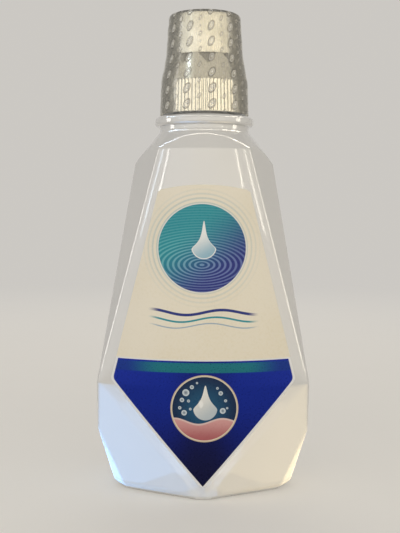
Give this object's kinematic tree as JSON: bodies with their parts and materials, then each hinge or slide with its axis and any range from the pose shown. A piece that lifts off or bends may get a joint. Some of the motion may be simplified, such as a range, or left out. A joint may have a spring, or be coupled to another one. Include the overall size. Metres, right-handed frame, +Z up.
{
  "type": "mouthwash bottle",
  "caption": "One-litre mouthwash bottle: white facet-sided moulded body with a V-shaped front label, round neck bead and a silver screw cap that is also the dosing cup.",
  "frame": {"origin": "middle of the standing face, on the bottle's axis", "axes": "+Z up along the neck, -Y out of the front panel with the label, +X to the right when seen from the front"},
  "size_m": [0.12, 0.0702, 0.2702],
  "materials": {
    "bottle_plastic": "opaque white, glossy blow-moulded",
    "label_film": "printed film, pearly silver above and navy blue in the lower point",
    "cup_plastic": "natural polypropylene, slightly milky",
    "silver_plastic": "metallised silver, satin",
    "seal_foam": "soft foamed polyethylene",
    "clear_film": "clear shrink film with small embossed ovals"
  },
  "bodies": {
    "bottle_body": {"bottle": "bottle_plastic", "front_label": "label_film"},
    "seal": {"cap_liner": "seal_foam"},
    "cap": {"dosing_cup": "cup_plastic", "cap_shell": "silver_plastic", "neck_band": "clear_film"}
  },
  "joints": [
    {"name": "cap_rise", "type": "slide", "parent": "bottle_body", "child": "seal", "axis": [0, 0, 1], "range_m": [0, 0.0191]},
    {"name": "cap_turn", "type": "hinge", "parent": "seal", "child": "cap", "pos_m": [0, 0, 0.2424], "axis": [0, 0, 1], "range_deg": [0, 810]}
  ],
  "couplings": [
    {"joint": "cap_rise", "follows": "cap_turn", "m_per_rad": 0.0013476}
  ]
}
